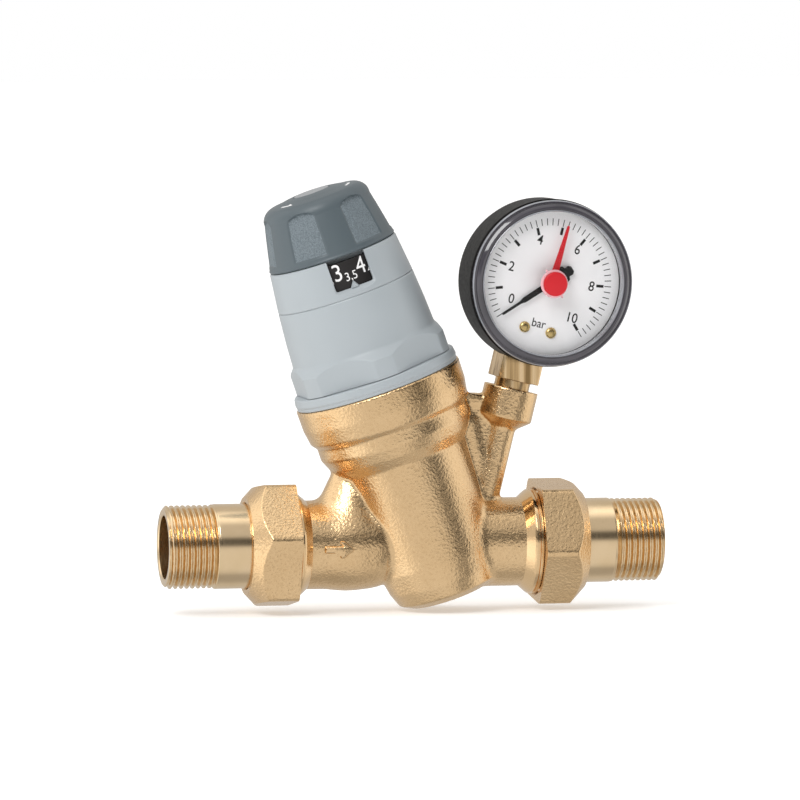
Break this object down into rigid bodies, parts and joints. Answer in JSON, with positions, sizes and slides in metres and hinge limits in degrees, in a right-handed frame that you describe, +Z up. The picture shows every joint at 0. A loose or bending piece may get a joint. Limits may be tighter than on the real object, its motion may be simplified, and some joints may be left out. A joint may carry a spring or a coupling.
{
  "type": "pressure reducing valve",
  "caption": "Y-pattern pressure reducing valve with leaning cartridge, setting knob with window scale, threaded union ends and a dial pressure gauge.",
  "frame": {"origin": "centre of the inlet end face, on the pipe axis", "axes": "+X along the pipe from inlet to outlet, +Z up on the side of the bonnet and gauge, -Y the side the gauge dial faces"},
  "size_m": [0.16, 0.0542, 0.1365],
  "materials": {
    "cast_brass": "pebbled as-cast brass",
    "machined_brass": "turned and brushed brass",
    "bonnet_grey": "light blue-grey moulded nylon",
    "knob_grey": "dark grey moulded nylon with fine grip texture",
    "cap_grey": "mid grey plastic",
    "drum_black": "black plastic with printed figures",
    "case_black": "black ABS",
    "clear_plastic": "clear polycarbonate",
    "dial_white": "white enamelled aluminium",
    "hand_black": "black enamel",
    "hand_red": "bright red plastic",
    "movement_brass": "stamped brass",
    "steel": "stainless steel",
    "spring_steel": "oil-tempered spring steel",
    "rubber": "EPDM and NBR",
    "cage_white": "glass-filled nylon"
  },
  "bodies": {
    "valve": {"valve_body": "cast_brass", "inlet_gasket": "rubber", "outlet_gasket": "rubber", "cartridge_cage": "cage_white", "strainer": "steel", "valve_seat": "steel", "diaphragm": "rubber", "slip_ring": "cage_white", "range_spring": "spring_steel", "upper_o_ring": "rubber", "lower_o_ring": "rubber", "bonnet_cover": "bonnet_grey", "indicator_ring": "bonnet_grey", "thrust_washer": "steel", "gauge_stem": "machined_brass", "gauge_case": "case_black", "gauge_window": "clear_plastic", "gauge_dial": "dial_white", "dial_screws": "movement_brass", "bourdon_tube": "movement_brass", "tube_tip": "movement_brass", "movement_back_plate": "movement_brass", "movement_front_plate": "movement_brass", "movement_pillars": "movement_brass", "sector_shaft": "steel"},
    "knob": {"adjusting_knob": "knob_grey", "knob_screw": "steel", "knob_cap": "cap_grey", "adjusting_screw": "machined_brass"},
    "carrier": {"spring_carrier": "steel", "carrier_pin": "steel"},
    "drum": {"pressure_drum": "drum_black"},
    "plug_group": {"plug": "machined_brass", "plug_seal": "rubber", "seal_washer": "steel", "stem_sleeve": "machined_brass", "balance_piston": "machined_brass", "piston_seal": "rubber", "upper_sleeve": "machined_brass", "stem": "steel", "lower_plate": "steel", "spring_plate": "steel", "stem_nut": "steel"},
    "inlet_end": {"inlet_tail": "machined_brass"},
    "outlet_end": {"outlet_tail": "machined_brass"},
    "inlet_union": {"inlet_nut": "cast_brass"},
    "outlet_union": {"outlet_nut": "cast_brass"},
    "pointer": {"gauge_pointer": "hand_black", "pointer_arbor": "movement_brass"},
    "sector": {"sector_gear": "movement_brass", "sector_link": "movement_brass"},
    "set_marker": {"set_hand": "hand_red", "set_cap": "hand_red"}
  },
  "joints": [
    {"name": "knob_turn", "type": "hinge", "parent": "valve", "child": "knob", "pos_m": [0.08655, 0, 0], "axis": [-0.328, 0, 0.9447], "range_deg": [-900, 900]},
    {"name": "carrier_slide", "type": "slide", "parent": "valve", "child": "carrier", "axis": [-0.328, 0, 0.9447], "range_m": [-0.00501, 0.00501], "deforming": ["range_spring"]},
    {"name": "drum_turn", "type": "hinge", "parent": "valve", "child": "drum", "pos_m": [0.08655, 0, 0], "axis": [-0.328, 0, 0.9447], "range_deg": [-56.3, 56.3]},
    {"name": "plug_lift", "type": "slide", "parent": "valve", "child": "plug_group", "axis": [-0.328, 0, 0.9447], "range_m": [0, 0.0025], "stiffness_N_per_m": 4000, "springref_m": -0.003, "deforming": ["range_spring", "diaphragm"]},
    {"name": "inlet_tail_slide", "type": "slide", "parent": "valve", "child": "inlet_end", "axis": [-1, 0, 0], "range_m": [0, 0.00694]},
    {"name": "inlet_nut_turn", "type": "hinge", "parent": "inlet_end", "child": "inlet_union", "pos_m": [0.0262, 0, 0], "axis": [-1, 0, 0], "range_deg": [0, 1080]},
    {"name": "outlet_tail_slide", "type": "slide", "parent": "valve", "child": "outlet_end", "axis": [1, 0, 0], "range_m": [0, 0.00694]},
    {"name": "outlet_nut_turn", "type": "hinge", "parent": "outlet_end", "child": "outlet_union", "pos_m": [0.1351, 0, 0], "axis": [1, 0, 0], "range_deg": [0, 1080]},
    {"name": "pointer_turn", "type": "hinge", "parent": "valve", "child": "pointer", "pos_m": [0.12077, 0, 0.08334], "axis": [-0.0762, 0.9969, 0.0186], "range_deg": [0, 270], "stiffness_Nm_per_rad": 0.001, "springref_deg": -17.19},
    {"name": "sector_turn", "type": "hinge", "parent": "valve", "child": "sector", "pos_m": [0.10683, -0.00113, 0.08674], "axis": [-0.0762, 0.9969, 0.0186], "range_deg": [-33.8, 0.05]},
    {"name": "set_hand_turn", "type": "hinge", "parent": "valve", "child": "set_marker", "pos_m": [0.12077, 0, 0.08334], "axis": [-0.0762, 0.9969, 0.0186], "continuous": true}
  ],
  "couplings": [
    {"joint": "carrier_slide", "follows": "knob_turn", "m_per_rad": 0.00031831},
    {"joint": "drum_turn", "follows": "knob_turn", "ratio": 0.0625},
    {"joint": "inlet_tail_slide", "follows": "inlet_nut_turn", "m_per_rad": 0.00036749},
    {"joint": "outlet_tail_slide", "follows": "outlet_nut_turn", "m_per_rad": 0.00036749},
    {"joint": "sector_turn", "follows": "pointer_turn", "ratio": -0.125}
  ]
}
